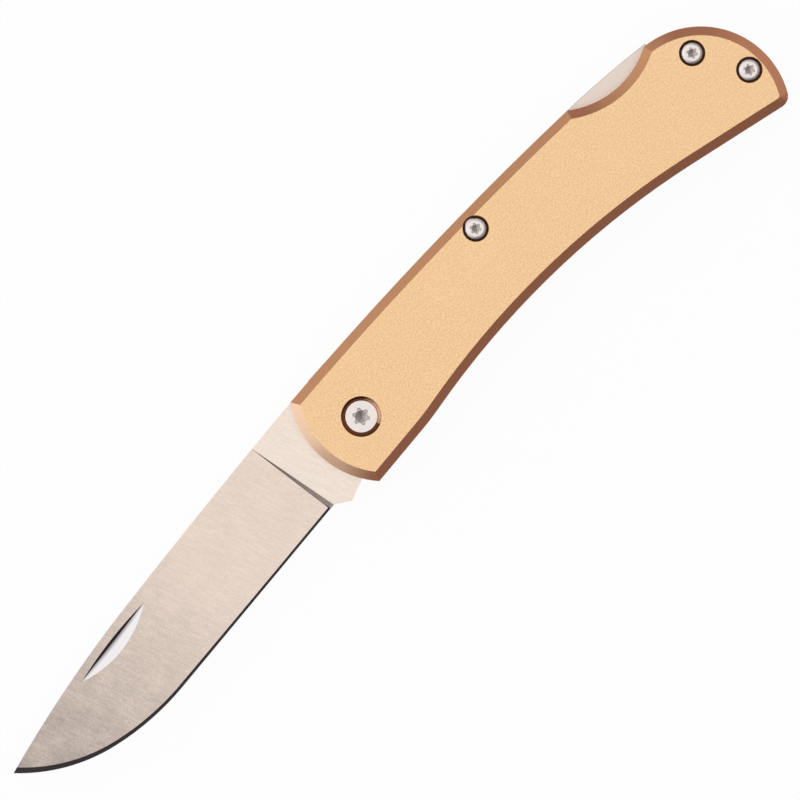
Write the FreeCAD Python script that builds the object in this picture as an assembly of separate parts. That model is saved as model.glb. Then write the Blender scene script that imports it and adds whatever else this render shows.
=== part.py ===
import FreeCAD, Part
import math
import os

from FreeCAD import Placement, Rotation, Vector

# Lock-back folding pocket knife with two chamfered metal handle scales, shown open.
# The blade turns on a threaded barrel at the front of the handle. A rocking lock bar along the
# spine hooks into a notch in the blade's tang, and a leaf spring under the bar's tail holds it there.
# Frame: the origin is on the blade pivot's axis, at the outer face of the right scale, on which the
# knife lies. +X runs to the butt, +Y to the spine and +Z up, to the left scale with the nail nick's side.
# The bar is modelled locked, then set as a thumb holds it pressed, with its hook just clear of the tang,
# because from there the blade can fold and the bar can drop back into its notch.
# Sizes are in millimetres and angles in degrees.

# Handle scales: PIVOT_SETBACK is from the front end to the pivot, BUTT_LENGTH from the folded tip to the butt
PIVOT_SETBACK = 10.92
BUTT_LENGTH = 8.0
SPINE_RISE = 12.23
SCALE_THICKNESS = 4.4
SCALE_CHAMFER = 1.75
TOE_RADIUS = 2.4
KNEE_RADIUS = 60.0

# Blade: BLADE_REACH is from the pivot forward to the tip, EDGE_DROP from the pivot down to the heel
BLADE_REACH = 95.83
EDGE_DROP = 7.46
BLADE_THICKNESS = 2.6
GROUND_EDGE_THICKNESS = 0.4
GROUND_TIP_THICKNESS = 0.8
GROUND_RISE_POWER = 3
SHARP_EDGE_THICKNESS = 0.06
EDGE_BEVEL_WIDTH = 0.5
EDGE_OVERSWEEP = 2.0
GRIND_STATIONS = 7
HEEL_REACH = 17.12
CHOIL_LENGTH = 1.0
PLUNGE_REACH = 18.83
PLUNGE_LEAN = 2.7
PLUNGE_RUN = 1.2
NICK_LENGTH = 20.2
NICK_WIDTH = 2.3
NICK_WALL_WIDTH = 0.58
NICK_DEPTH = 0.5

# The handle is as long as the blade that folds into it
HANDLE_LENGTH = PIVOT_SETBACK + BLADE_REACH + BUTT_LENGTH

# Outline of the handle: shares of HANDLE_LENGTH from the front end, and of SPINE_RISE from the pivot
FRONT_END_SHARES = (0.0, 0.0474)
FRONT_TOP_SHARES = (0.0332, 0.9771)
SPINE_CROWN_SHARES = (0.359, 0.9833)
NOTCH_FRONT_SHARES = (0.7068, 0.8135)
NOTCH_FLOOR_SHARES = (0.8025, 0.4587)
NOTCH_REAR_SHARES = (0.8723, 0.5879)
BUTT_END_SHARES = (1.0, -0.8242)
TOE_SHARES = (0.9668, -1.6939)
BELLY_BEND_SHARES = (0.7845, -1.2189)
KNEE_SHARES = (0.1726, -0.8409)
FRONT_LOW_SHARES = (0.0349, -0.8905)

# Places of the three small barrels, as shares on the same scheme
ROCKER_SHARES = (0.457, 0.6396)
REAR_UPPER_SHARES = (0.9177, -0.0419)
REAR_LOWER_SHARES = (0.961, -0.8846)

# Outline of the blade: shares of BLADE_REACH forward, and of SPINE_RISE up or EDGE_DROP down
SPINE_START_SHARE = 0.992
SPINE_MIDDLE_SHARES = (0.31, 0.8947)
SPINE_BEND_SHARES = (0.6439, 0.7312)
SPINE_DROP_SHARES = (0.8415, 0.5422)
TIP_SHARES = (1.0, 0.3109)
EDGE_JOIN_SHARES = (0.8194, 0.9774)
EDGE_STRAIGHT_SHARES = (0.6449, 1.2386)
NICK_REAR_SHARES = (0.5697, 0.5838)
NICK_FRONT_SHARES = (0.7693, 0.4755)

# Tang and lock: the lobe is the round behind the notch, and the kick is the corner that stops the blade
LOBE_RADIUS = 7.9
NOTCH_FRONT_REACH = 2.0
NOTCH_REAR_ANGLE = 72.0
LOCK_BITE = 0.7
LOCK_CLEARANCE = 0.08
KICK_LENGTH = 2.9
KICK_DROP = 9.51
TANG_FLAT_ANGLE = 17.5

# Lock bar, modelled locked
BAR_SINK = 0.45
BAR_NOSE_SINK = 0.8
BAR_SIDE_PLAY = 0.06
BAR_SEAT_DROP = 0.15
HOOK_RELIEF_RISE = 0.35
HOOK_RELIEF_LENGTH = 4.0
HOOK_RELIEF_RAMP = 2.2
ROCKER_BOSS_RADIUS = 3.1
ROCKER_BLEND_RADIUS = 4.0

# Outline of the bar behind its pivot: shares of HANDLE_LENGTH and SPINE_RISE, as for the handle
BAR_WAIST_SHARES = (0.6, 0.8376)
PAD_FRONT_SHARES = (0.6945, 0.8701)
PAD_MIDDLE_SHARES = (0.7771, 0.812)
PAD_REAR_SHARES = (0.8776, 0.6909)
TAIL_BASE_SHARES = (0.8776, 0.3837)
SPRING_LAND_SHARES = (0.6554, 0.4775)

# Lock spring
SPRING_THICKNESS = 1.1
SPRING_BOW = 0.25
SPRING_CONTACT_GAP = 0.05
SPRING_OVERHANG = 1.3
SPRING_ROOT_OVERHANG = 1.8
SPRING_ROOT_WALL = 0.55
SPRING_SLOT_CLEARANCE = 0.03

# Back spacer
TAIL_GAP = 0.45
TIP_CLEARANCE = 0.85
SPACER_BOSS_RADIUS = 2.75
SPACER_INSET = 0.12

# Fasteners
PIVOT_BARREL_DIAMETER = 4.8
SMALL_BARREL_DIAMETER = 3.2
BARREL_CLEARANCE = 0.03
BARREL_END_GAP = 0.15
WASHER_DIAMETER = 11.0
WASHER_THICKNESS = 0.2
WASHER_BORE_CLEARANCE = 0.1
WASHER_PLAY = 0.02
PIVOT_HEAD_DIAMETER = 6.4
PIVOT_HEAD_HEIGHT = 1.0
PIVOT_HEAD_BREAK = 0.15
PIVOT_HEAD_SINK = 0.45
PIVOT_COUNTERBORE_DIAMETER = 6.6
PIVOT_MOUTH_DIAMETER = 7.84
PIVOT_MOUTH_DEPTH = 0.62
PIVOT_SHANK_DIAMETER = 3.4
PIVOT_KEY_DIAMETER = 3.4
SMALL_HEAD_DIAMETER = 4.65
SMALL_HEAD_HEIGHT = 1.3
SMALL_HEAD_RIM = 0.8
SMALL_HEAD_SHOULDER_DIAMETER = 3.9
SMALL_HEAD_SHOULDER_RISE = 1.1
SMALL_HEAD_FLAT_DIAMETER = 3.1
SMALL_HEAD_SINK = 0.08
SMALL_COUNTERBORE_DIAMETER = 5.1
SMALL_SHANK_DIAMETER = 2.2
SMALL_KEY_DIAMETER = 2.2
SHANK_LENGTH = 3.2
SHANK_CLEARANCE = 0.02

# Six-lobed key recess: core and depths as shares of the key's diameter, widths as shares of one lobe's turn
KEY_LOBES = 6
KEY_CORE_SHARE = 0.72
KEY_DEPTH_SHARE = 0.25
KEY_POINT_SHARE = 0.18
KEY_LOBE_SHARE = 0.26
KEY_VALLEY_SHARE = 0.3

# One overrun serves every cut
OVERRUN = 1.0

# Stack of layers across the knife
SLOT_WIDTH = BLADE_THICKNESS + 2 * (WASHER_THICKNESS + WASHER_PLAY)
TOTAL_THICKNESS = 2 * SCALE_THICKNESS + SLOT_WIDTH
MID_HEIGHT = TOTAL_THICKNESS / 2
BAR_WIDTH = SLOT_WIDTH - 2 * BAR_SIDE_PLAY
PIVOT_COUNTERBORE_DEPTH = PIVOT_HEAD_HEIGHT + PIVOT_HEAD_SINK
SMALL_COUNTERBORE_DEPTH = SMALL_HEAD_HEIGHT + SMALL_HEAD_SINK

UP = Vector(0, 0, 1)
PIVOT = Vector(0, 0, 0)


# Helpers for outlines and solids

def on_handle(shares):
    """A point of the handle from its shares of length and of spine height."""
    return Vector(shares[0] * HANDLE_LENGTH - PIVOT_SETBACK, shares[1] * SPINE_RISE, 0)


def on_blade(shares, height):
    """A point of the open blade, ahead of the pivot by a share of its reach."""
    return Vector(-shares[0] * BLADE_REACH, shares[1] * height, 0)


def polar(radius, angle):
    """A point at that radius and angle about the blade pivot."""
    return Vector(radius * math.cos(math.radians(angle)), radius * math.sin(math.radians(angle)), 0)


def on_circle(radius, x):
    """The upper point of a circle about the blade pivot at a given x."""
    return Vector(x, math.sqrt(radius ** 2 - x ** 2), 0)


def line(start, end):
    return Part.LineSegment(start, end).toShape()


def arc(start, middle, end):
    return Part.Arc(start, middle, end).toShape()


def tangent_arc(start, heading, end):
    """The arc that leaves start along heading and goes through end."""
    chord = end - start
    turn = heading.getAngle(chord)
    across = heading - chord * (heading.dot(chord) / chord.dot(chord))
    sagitta = chord.Length / 2 * math.tan(turn / 2)
    return arc(start, (start + end) / 2 + across.normalize() * sagitta, end)


def slab(edges, thickness, base):
    """A flat solid of one outline, from height base upwards."""
    face = Part.Face(Part.Wire(edges))
    solid = face.extrude(Vector(0, 0, thickness))
    solid.translate(Vector(0, 0, base))
    return solid


def rod(diameter, length, centre, base):
    """A round rod along Z."""
    return Part.makeCylinder(diameter / 2, length, Vector(centre.x, centre.y, base))


def half_space(point, normal):
    """Everything on the normal's side of a plane, as a block much larger than the knife."""
    size = 2 * (HANDLE_LENGTH + BLADE_REACH)
    block = Part.makeBox(size, size, size, Vector(-size / 2, -size / 2, 0))
    block.Placement = Placement(point, Rotation(UP, normal))
    return block


def other_side(solid):
    """The solid's mirror image in the knife's middle plane."""
    return solid.mirror(Vector(0, 0, MID_HEIGHT), UP)


def turned(point, centre, angle):
    """A point turned about a vertical axis."""
    return centre + Rotation(UP, angle).multVec(point - centre)


ROCKER = on_handle(ROCKER_SHARES)
REAR_UPPER = on_handle(REAR_UPPER_SHARES)
REAR_LOWER = on_handle(REAR_LOWER_SHARES)
SMALL_BARRELS = (ROCKER, REAR_UPPER, REAR_LOWER)
LOBE_TOP = polar(LOBE_RADIUS, NOTCH_REAR_ANGLE)
KICK = Vector(CHOIL_LENGTH + KICK_LENGTH - HEEL_REACH, -KICK_DROP, 0)
BAR_SEAT_RISE = LOBE_RADIUS - BAR_SEAT_DROP


# Travel of the lock and of the blade

def lock_travel():
    """Angle through which the bar rocks to lift its hook clear of the lobe."""
    outward = Vector(LOBE_TOP).normalize()
    swing = UP.cross(ROCKER - LOBE_TOP)
    return math.degrees((LOCK_BITE + LOCK_CLEARANCE) / swing.dot(outward))


def closing_angle():
    """Angle through which the blade turns until its kick meets the bar's underside."""
    seat = math.degrees(math.asin((BAR_SEAT_RISE - LOCK_CLEARANCE) / KICK.Length))
    open_angle = math.degrees(math.atan2(KICK.y, KICK.x))
    return seat - open_angle


LOCK_TRAVEL = lock_travel()


# Handle scales

def handle_outline(with_notch=True):
    """The handle's outline, with or without the thumb notch over the lock bar's tail."""
    edges = [arc(on_handle(FRONT_LOW_SHARES), on_handle(FRONT_END_SHARES), on_handle(FRONT_TOP_SHARES)),
             arc(on_handle(FRONT_TOP_SHARES), on_handle(SPINE_CROWN_SHARES), on_handle(NOTCH_FRONT_SHARES))]
    if with_notch:
        edges.append(arc(on_handle(NOTCH_FRONT_SHARES), on_handle(NOTCH_FLOOR_SHARES),
                         on_handle(NOTCH_REAR_SHARES)))
    else:
        edges.append(line(on_handle(NOTCH_FRONT_SHARES), on_handle(NOTCH_REAR_SHARES)))
    toe = on_handle(TOE_SHARES)
    edges.append(arc(on_handle(NOTCH_REAR_SHARES), on_handle(BUTT_END_SHARES), toe))
    return edges + belly_edges(toe)


def belly_edges(toe):
    """The underside from the toe forwards: straight, hollow, then a gentle knee into the front's straight."""
    bend = on_handle(BELLY_BEND_SHARES)
    knee = on_handle(KNEE_SHARES)
    front = on_handle(FRONT_LOW_SHARES)
    heading = (bend - toe).normalize()
    hollow = tangent_arc(bend, heading, knee).Curve
    forward = (front - knee).normalize()
    inward = Vector(forward.y, -forward.x, 0)
    offset = knee + inward * KNEE_RADIUS - hollow.Center
    along = offset.dot(forward)
    reach = hollow.Radius + KNEE_RADIUS
    straight_end = knee + forward * (math.sqrt(along ** 2 + reach ** 2 - offset.dot(offset)) - along)
    round_centre = straight_end + inward * KNEE_RADIUS
    hollow_end = hollow.Center + (round_centre - hollow.Center).normalize() * hollow.Radius
    return [line(toe, bend),
            tangent_arc(bend, heading, hollow_end),
            tangent_arc(straight_end, -forward, hollow_end),
            line(straight_end, front)]


def handle_slab(thickness, base, with_notch=True):
    """A plate of the handle's outline, rounded at the toe of the butt."""
    plate = slab(handle_outline(with_notch), thickness, base)
    return plate.makeFillet(TOE_RADIUS, upright_edges(plate, on_handle(TOE_SHARES)))


def upright_edges(solid, place):
    """The upright edge of a flat solid that stands nearest to a place."""
    upright = [edge for edge in solid.Edges if edge.BoundBox.ZLength > solid.BoundBox.ZLength / 2]
    return [min(upright, key=lambda edge: Vector(edge.CenterOfMass.x, edge.CenterOfMass.y, 0)
                .distanceToPoint(place))]


def spine_height(x):
    """Height of the handle's spine curve at x, carried on past the notch."""
    spine = arc(on_handle(FRONT_TOP_SHARES), on_handle(SPINE_CROWN_SHARES),
                on_handle(NOTCH_FRONT_SHARES)).Curve
    return spine.Center.y + math.sqrt(spine.Radius ** 2 - (x - spine.Center.x) ** 2)


def counterbore(diameter, depth, centre):
    """A screw seat in the left scale's outer face."""
    return rod(diameter, depth + OVERRUN, centre, TOTAL_THICKNESS - depth)


def pivot_mouth():
    """The sloping mouth of the pivot screw's seat."""
    low = PIVOT_COUNTERBORE_DIAMETER / 2
    slope = (PIVOT_MOUTH_DIAMETER / 2 - low) / PIVOT_MOUTH_DEPTH
    height = PIVOT_MOUTH_DEPTH + OVERRUN
    return Part.makeCone(low, low + slope * height, height, UP * (TOTAL_THICKNESS - PIVOT_MOUTH_DEPTH))


def left_scale():
    """The scale on the nail nick's side, chamfered all round its outer face."""
    base = TOTAL_THICKNESS - SCALE_THICKNESS
    plate = handle_slab(SCALE_THICKNESS, base)
    rim = [edge for edge in plate.Edges
           if all(abs(v.Z - TOTAL_THICKNESS) < SCALE_CHAMFER / 2 for v in edge.Vertexes)]
    plate = plate.makeChamfer(SCALE_CHAMFER, rim)
    below = base - OVERRUN
    through = SCALE_THICKNESS + 2 * OVERRUN
    plate = plate.cut(rod(PIVOT_BARREL_DIAMETER + 2 * BARREL_CLEARANCE, through, PIVOT, below))
    plate = plate.cut(counterbore(PIVOT_COUNTERBORE_DIAMETER, PIVOT_COUNTERBORE_DEPTH, PIVOT))
    plate = plate.cut(pivot_mouth())
    for centre in SMALL_BARRELS:
        plate = plate.cut(rod(SMALL_BARREL_DIAMETER + 2 * BARREL_CLEARANCE, through, centre, below))
        plate = plate.cut(counterbore(SMALL_COUNTERBORE_DIAMETER, SMALL_COUNTERBORE_DEPTH, centre))
    return plate


# Blade

HEEL = Vector(-HEEL_REACH, -EDGE_DROP, 0)
TIP = on_blade(TIP_SHARES, SPINE_RISE)
EDGE_STRAIGHT = on_blade(EDGE_STRAIGHT_SHARES, -EDGE_DROP)
EDGE_JOIN = on_blade(EDGE_JOIN_SHARES, -EDGE_DROP)
BELLY_ARC = tangent_arc(EDGE_STRAIGHT, EDGE_STRAIGHT - HEEL, EDGE_JOIN)
BELLY_CENTRE = BELLY_ARC.Curve.Center
JOIN_HEADING = (EDGE_JOIN - BELLY_CENTRE).cross(UP)
POINT_ARC = tangent_arc(EDGE_JOIN, JOIN_HEADING, TIP)
POINT_CENTRE = POINT_ARC.Curve.Center
BEYOND_TIP = turned(TIP, POINT_CENTRE, -EDGE_OVERSWEEP)


def tang_outline():
    """The tang from the heel of the edge round to the start of the spine."""
    flat = Rotation(UP, TANG_FLAT_ANGLE).multVec(Vector(1, 0, 0))
    facing = Vector(flat.y, -flat.x, 0)
    flat_distance = KICK.dot(facing)
    lobe_low_angle = (math.degrees(math.atan2(facing.y, facing.x))
                      + math.degrees(math.acos(flat_distance / LOBE_RADIUS)))
    lobe_low = polar(LOBE_RADIUS, lobe_low_angle)
    lobe_middle = polar(LOBE_RADIUS, (lobe_low_angle + NOTCH_REAR_ANGLE) / 2)
    floor_radius = LOBE_RADIUS - LOCK_BITE - LOCK_CLEARANCE
    floor_rear = on_circle(floor_radius, LOBE_TOP.x)
    floor_front = on_circle(floor_radius, -NOTCH_FRONT_REACH)
    floor_middle = on_circle(floor_radius, (floor_rear.x + floor_front.x) / 2)
    choil = HEEL + Vector(CHOIL_LENGTH, 0, 0)
    spine_start = Vector(-NOTCH_FRONT_REACH, SPINE_START_SHARE * SPINE_RISE, 0)
    edges = [line(HEEL, choil),
             line(choil, KICK),
             line(KICK, lobe_low),
             arc(lobe_low, lobe_middle, LOBE_TOP),
             line(LOBE_TOP, floor_rear),
             arc(floor_rear, floor_middle, floor_front),
             line(floor_front, spine_start)]
    return edges, spine_start


def blade_blank():
    """The blade's outline at full thickness, centred on height zero."""
    tang, spine_start = tang_outline()
    bend = on_blade(SPINE_BEND_SHARES, SPINE_RISE)
    edges = tang + [arc(spine_start, on_blade(SPINE_MIDDLE_SHARES, SPINE_RISE), bend),
                    arc(bend, on_blade(SPINE_DROP_SHARES, SPINE_RISE), TIP),
                    POINT_ARC,
                    BELLY_ARC,
                    line(EDGE_STRAIGHT, HEEL)]
    return slab(edges, BLADE_THICKNESS, -BLADE_THICKNESS / 2)


def grind_slope():
    """Rise of the flat grind from the edge to the spine."""
    depth = SPINE_START_SHARE * SPINE_RISE + EDGE_DROP
    return (BLADE_THICKNESS - GROUND_EDGE_THICKNESS) / 2 / depth


def ground_half(x):
    """Half the thickness left behind the edge at x, which grows towards the tip."""
    share = (HEEL.x - x) / (HEEL.x - TIP.x)
    growth = GROUND_TIP_THICKNESS - GROUND_EDGE_THICKNESS
    return (GROUND_EDGE_THICKNESS + growth * share ** GROUND_RISE_POWER) / 2


def flat_grind():
    """What the wheel takes off one face: a slope that rises from the edge line and ends at the plunge."""
    half = BLADE_THICKNESS / 2
    below = -KICK_DROP - OVERRUN
    behind_heel = HEEL + (HEEL - EDGE_STRAIGHT).normalize() * (PLUNGE_LEAN + PLUNGE_RUN)
    edge_line = [behind_heel]
    past_tip = tangent_arc(EDGE_JOIN, JOIN_HEADING, BEYOND_TIP)
    for piece in (line(behind_heel, EDGE_STRAIGHT), BELLY_ARC, past_tip):
        edge_line += piece.discretize(Number=GRIND_STATIONS)[1:]
    foot = [Vector(p.x, below, ground_half(p.x) + grind_slope() * (below - p.y)) for p in edge_line]
    slope_line = Part.BSplineCurve()
    slope_line.interpolate(foot)
    over = [Vector(foot[-1].x, below, BLADE_THICKNESS), Vector(foot[0].x, below, BLADE_THICKNESS)]
    rim = [slope_line.toShape(), line(foot[-1], over[0]), line(over[0], over[1]), line(over[1], foot[0])]
    wheel = Part.Face(Part.Wire(rim)).extrude(Vector(0, 1, grind_slope()) * (SPINE_RISE + OVERRUN - below))
    plunge_top = Vector(-PLUNGE_REACH, SPINE_RISE, half)
    plunge_low = Vector(PLUNGE_LEAN - PLUNGE_REACH, -EDGE_DROP, half)
    plunge_foot = Vector(PLUNGE_LEAN - PLUNGE_REACH - PLUNGE_RUN, -EDGE_DROP, ground_half(HEEL.x))
    forward = (plunge_low - plunge_top).cross(plunge_foot - plunge_top).normalize()
    if forward.x > 0:
        forward = -forward
    return wheel.common(half_space(plunge_top, forward))


def edge_bevel():
    """What the hone takes off one face: a narrow bevel that follows the cutting edge."""
    sharp = SHARP_EDGE_THICKNESS / 2
    shoulder = GROUND_EDGE_THICKNESS / 2 + grind_slope() * EDGE_BEVEL_WIDTH
    slope = (shoulder - sharp) / EDGE_BEVEL_WIDTH
    inside = 3 * EDGE_BEVEL_WIDTH

    def profile(start, inward):
        low = start - inward * OVERRUN + UP * (sharp - slope * OVERRUN)
        high = start + inward * inside + UP * (sharp + slope * inside)
        over = start - inward * OVERRUN + UP * (sharp + slope * inside)
        return Part.Face(Part.makePolygon([low, high, over, low]))

    along = EDGE_STRAIGHT - HEEL
    tools = [profile(HEEL, UP.cross(-along).normalize()).extrude(along)]
    for start, centre, end in ((EDGE_STRAIGHT, BELLY_CENTRE, EDGE_JOIN),
                               (EDGE_JOIN, POINT_CENTRE, BEYOND_TIP)):
        sweep = math.degrees((start - centre).getAngle(end - centre))
        tools.append(profile(start, (centre - start).normalize()).revolve(centre, -UP, sweep))
    return tools


def nail_nick():
    """The crescent cut by a wheel with two slopes: steep towards the spine, shallow towards the edge."""
    rear = on_blade(NICK_REAR_SHARES, SPINE_RISE)
    front = on_blade(NICK_FRONT_SHARES, SPINE_RISE)
    along = (rear - front).normalize()
    edge_below = EDGE_STRAIGHT.y
    centre = (rear + front) / 2
    surface = ground_half(centre.x) + grind_slope() * (centre.y - edge_below)
    face_normal = Vector(0, -grind_slope(), 1).normalize()
    to_edge = along.cross(face_normal).normalize()
    wheel_radius = (NICK_LENGTH / 2) ** 2 / (2 * NICK_DEPTH) + NICK_DEPTH / 2
    axis_point = centre + UP * surface + face_normal * (wheel_radius - NICK_DEPTH)
    side_radius = wheel_radius - 2 * NICK_DEPTH
    shallow = Part.makeCone(wheel_radius, side_radius, 2 * NICK_WIDTH, axis_point, to_edge)
    steep = Part.makeCone(wheel_radius, side_radius, 2 * NICK_WALL_WIDTH, axis_point, -to_edge)
    return shallow.fuse(steep)


def blade():
    solid = blade_blank()
    for tool in [flat_grind()] + edge_bevel():
        solid = solid.cut(tool)
        solid = solid.cut(tool.mirror(PIVOT, UP))
    solid = solid.cut(nail_nick())
    bore = PIVOT_BARREL_DIAMETER + 2 * BARREL_CLEARANCE
    solid = solid.cut(rod(bore, BLADE_THICKNESS + 2 * OVERRUN, PIVOT, -BLADE_THICKNESS / 2 - OVERRUN))
    solid.translate(UP * MID_HEIGHT)
    return solid.removeSplitter()


# Lock bar, spring and back spacer

def pressed(point):
    """Where a point of the locked bar goes when the bar's tail is pressed."""
    return turned(point, ROCKER, -LOCK_TRAVEL)


def lock_bar():
    """The rocking bar: a hook at its front, a boss on its pivot and a thumb pad at its tail."""
    hook_radius = LOBE_RADIUS - LOCK_BITE
    front = LOCK_CLEARANCE - NOTCH_FRONT_REACH
    rear = LOBE_TOP.x - LOCK_CLEARANCE
    hook_front = on_circle(hook_radius, front)
    hook_rear = on_circle(hook_radius, rear)
    hook_middle = on_circle(hook_radius, (front + rear) / 2)
    relief_rise = LOBE_RADIUS + HOOK_RELIEF_RISE
    relief_start = Vector(rear, relief_rise, 0)
    relief_end = Vector(rear + HOOK_RELIEF_LENGTH, relief_rise, 0)
    seat_start = Vector(relief_end.x + HOOK_RELIEF_RAMP, BAR_SEAT_RISE, 0)
    land = on_handle(SPRING_LAND_SHARES)
    under_rocker = Vector(ROCKER.x, BAR_SEAT_RISE, 0)
    waist = on_handle(BAR_WAIST_SHARES)
    crown_x = (front + waist.x) / 2
    top_front = Vector(front, spine_height(front) - BAR_NOSE_SINK, 0)
    top_crown = Vector(crown_x, spine_height(crown_x) - BAR_SINK, 0)
    pad_front = on_handle(PAD_FRONT_SHARES)
    pad_rear = on_handle(PAD_REAR_SHARES)
    tail_base = on_handle(TAIL_BASE_SHARES)
    edges = [arc(hook_front, hook_middle, hook_rear),
             line(hook_rear, relief_start),
             line(relief_start, relief_end),
             line(relief_end, seat_start),
             line(seat_start, under_rocker),
             line(under_rocker, land),
             line(land, tail_base),
             line(tail_base, pad_rear),
             arc(pad_rear, on_handle(PAD_MIDDLE_SHARES), pad_front),
             line(pad_front, waist),
             arc(waist, top_crown, top_front),
             line(top_front, hook_front)]
    base = MID_HEIGHT - BAR_WIDTH / 2
    bar = slab(edges, BAR_WIDTH, base)
    bar = bar.fuse(rod(2 * ROCKER_BOSS_RADIUS, BAR_WIDTH, ROCKER, base)).removeSplitter()
    corners = [edge for edge in bar.Edges if is_boss_corner(edge)]
    bar = bar.makeFillet(ROCKER_BLEND_RADIUS, corners)
    bore = SMALL_BARREL_DIAMETER + 2 * BARREL_CLEARANCE
    bar = bar.cut(rod(bore, BAR_WIDTH + 2 * OVERRUN, ROCKER, base - OVERRUN))
    bar.rotate(ROCKER, UP, -LOCK_TRAVEL)
    return bar


def is_boss_corner(edge):
    """True for an upright edge where the boss's round meets the bar's underside."""
    upright = len(edge.Vertexes) == 2 and abs(edge.Vertexes[0].Z - edge.Vertexes[1].Z) > BAR_WIDTH / 2
    place = edge.CenterOfMass - ROCKER
    reach = math.hypot(place.x, place.y)
    return upright and place.y < 0 and abs(reach - ROCKER_BOSS_RADIUS) < BAR_SIDE_PLAY


def lock_spring(clearance=0, width=BAR_WIDTH):
    """The leaf spring, as bent by the pressed bar. A clearance and a greater width make the slot for it."""
    land = pressed(on_handle(SPRING_LAND_SHARES))
    top = land - Vector(0, SPRING_CONTACT_GAP - clearance, 0)
    root_rise = SMALL_BARREL_DIAMETER / 2 + SPRING_ROOT_WALL + SPRING_THICKNESS
    root = REAR_UPPER + Vector(SPRING_ROOT_OVERHANG + clearance, root_rise + clearance, 0)
    slope = (root.y - top.y) / (root.x - top.x)
    tip = top - Vector(1, slope, 0) * SPRING_OVERHANG
    middle = (tip + root) / 2 - Vector(0, SPRING_BOW, 0)
    down = Vector(0, -(SPRING_THICKNESS + 2 * clearance), 0)
    edges = [arc(tip, middle, root),
             line(root, root + down),
             arc(root + down, middle + down, tip + down),
             line(tip + down, tip)]
    return slab(edges, width, MID_HEIGHT - width / 2)


def spacer_front():
    """Place of the spacer's front face, just behind the lock bar's tail."""
    return on_handle(PAD_REAR_SHARES).x + TAIL_GAP


def back_spacer():
    """The block between the scales at the butt, hollowed so that the closed blade's tip passes it."""
    base = MID_HEIGHT - SLOT_WIDTH / 2
    floor = min(handle_slab(SLOT_WIDTH, base, with_notch=False).Faces, key=lambda f: f.CenterOfMass.z)
    outline = floor.OuterWire.makeOffset2D(-SPACER_INSET)
    body = Part.Face(outline).extrude(UP * SLOT_WIDTH)
    front = spacer_front()
    far = HANDLE_LENGTH
    step = REAR_UPPER.y - SPACER_BOSS_RADIUS
    tip_radius = TIP.Length + TIP_CLEARANCE
    shelf = Part.makeBox(far, far, SLOT_WIDTH, Vector(front, step, base))
    ring = rod(4 * far, SLOT_WIDTH, PIVOT, base).cut(rod(2 * tip_radius, SLOT_WIDTH, PIVOT, base))
    lower = ring.common(Part.makeBox(far, far, SLOT_WIDTH, Vector(front, step - far, base)))
    boss = rod(2 * SPACER_BOSS_RADIUS, SLOT_WIDTH, REAR_LOWER, base)
    body = body.common(shelf.fuse(lower).fuse(boss)).removeSplitter()
    bore = SMALL_BARREL_DIAMETER + 2 * BARREL_CLEARANCE
    for centre in (REAR_UPPER, REAR_LOWER):
        body = body.cut(rod(bore, SLOT_WIDTH + 2 * OVERRUN, centre, base - OVERRUN))
    return body.cut(lock_spring(SPRING_SLOT_CLEARANCE, SLOT_WIDTH + 2 * OVERRUN))


# Fasteners and washers

def barrel(diameter, bore, counterbore_depth, centre):
    """A sleeve threaded at both ends, which carries a pivot and takes a screw from each side."""
    length = TOTAL_THICKNESS - 2 * (counterbore_depth + BARREL_END_GAP)
    base = MID_HEIGHT - length / 2
    tube = rod(diameter, length, centre, base)
    return tube.cut(rod(bore, length + 2 * OVERRUN, centre, base - OVERRUN))


def key_recess(diameter, top):
    """The six-lobed socket for the driver, sunk from height top, with a shallow point in its floor."""
    depth = KEY_DEPTH_SHARE * diameter
    pitch = 360 / KEY_LOBES
    outline = []
    core = []
    for step in range(KEY_LOBES):
        lobe = step * pitch
        valley = lobe + pitch / 2
        for side in (-1, 1):
            outline.append(polar(diameter / 2, lobe + side * KEY_LOBE_SHARE * pitch / 2))
        for side in (-1, 1):
            core.append(polar(KEY_CORE_SHARE * diameter / 2, valley + side * KEY_VALLEY_SHARE * pitch / 2))
        outline += core[-2:]
    socket = slab(Part.makePolygon(outline + outline[:1]).Edges, depth + OVERRUN, top - depth)
    floor = [corner + UP * (top - depth) for corner in core + core[:1]]
    point = Part.Vertex(UP * (top - depth - KEY_POINT_SHARE * diameter))
    return socket.fuse(Part.makeLoft([point, Part.makePolygon(floor)], True, True))


def screw(head_edges, height, shank_diameter, key_diameter):
    """A screw from its head's half profile, standing on height zero with its shank below."""
    profile = Part.Face(Part.Wire(head_edges))
    head = profile.revolve(PIVOT, UP, 360)
    shank = rod(shank_diameter, SHANK_LENGTH, PIVOT, -SHANK_LENGTH)
    return head.fuse(shank).removeSplitter().cut(key_recess(key_diameter, height))


def pivot_screw():
    """The large flat-headed screw at the blade pivot."""
    radius = PIVOT_HEAD_DIAMETER / 2
    rim = PIVOT_HEAD_HEIGHT - PIVOT_HEAD_BREAK
    points = [PIVOT, Vector(radius, 0, 0), Vector(radius, 0, rim),
              Vector(radius - PIVOT_HEAD_BREAK, 0, PIVOT_HEAD_HEIGHT), UP * PIVOT_HEAD_HEIGHT, PIVOT]
    edges = Part.makePolygon(points).Edges
    return screw(edges, PIVOT_HEAD_HEIGHT, PIVOT_SHANK_DIAMETER, PIVOT_KEY_DIAMETER)


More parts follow.
